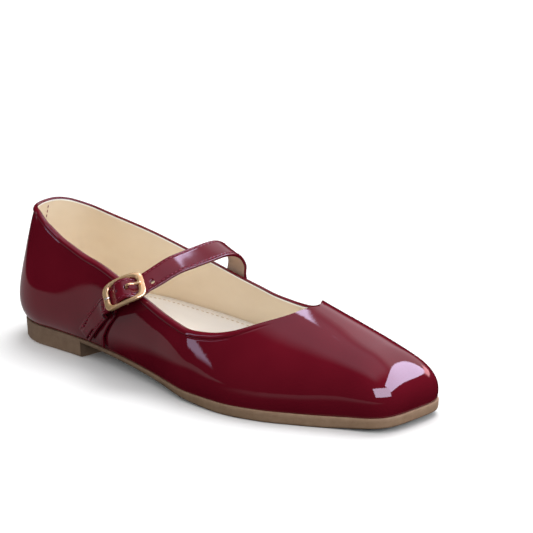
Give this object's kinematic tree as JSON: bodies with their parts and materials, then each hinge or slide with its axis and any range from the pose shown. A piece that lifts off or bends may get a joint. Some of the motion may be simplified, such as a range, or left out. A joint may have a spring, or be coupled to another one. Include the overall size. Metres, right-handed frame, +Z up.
{
  "type": "mary jane shoe",
  "caption": "Square-toed mary jane flat in burgundy patent leather, with a buckled instep strap, a cream lining and a low moulded heel.",
  "frame": {"origin": "middle of the shoe's box, on the floor", "axes": "+X runs from the heel to the toe, -Y is the lateral side with the buckle, +Z is up"},
  "size_m": [0.2518, 0.0796, 0.0707],
  "materials": {
    "patent": "gloss",
    "rubber": "matte",
    "lining": "matte",
    "gold": "polished"
  },
  "bodies": {
    "root": {"outsole": "rubber", "insole": "lining", "upper": "patent", "strap": "patent", "buckle_tab": "patent", "buckle_frame": "gold", "buckle_prong": "gold"}
  },
  "joints": []
}
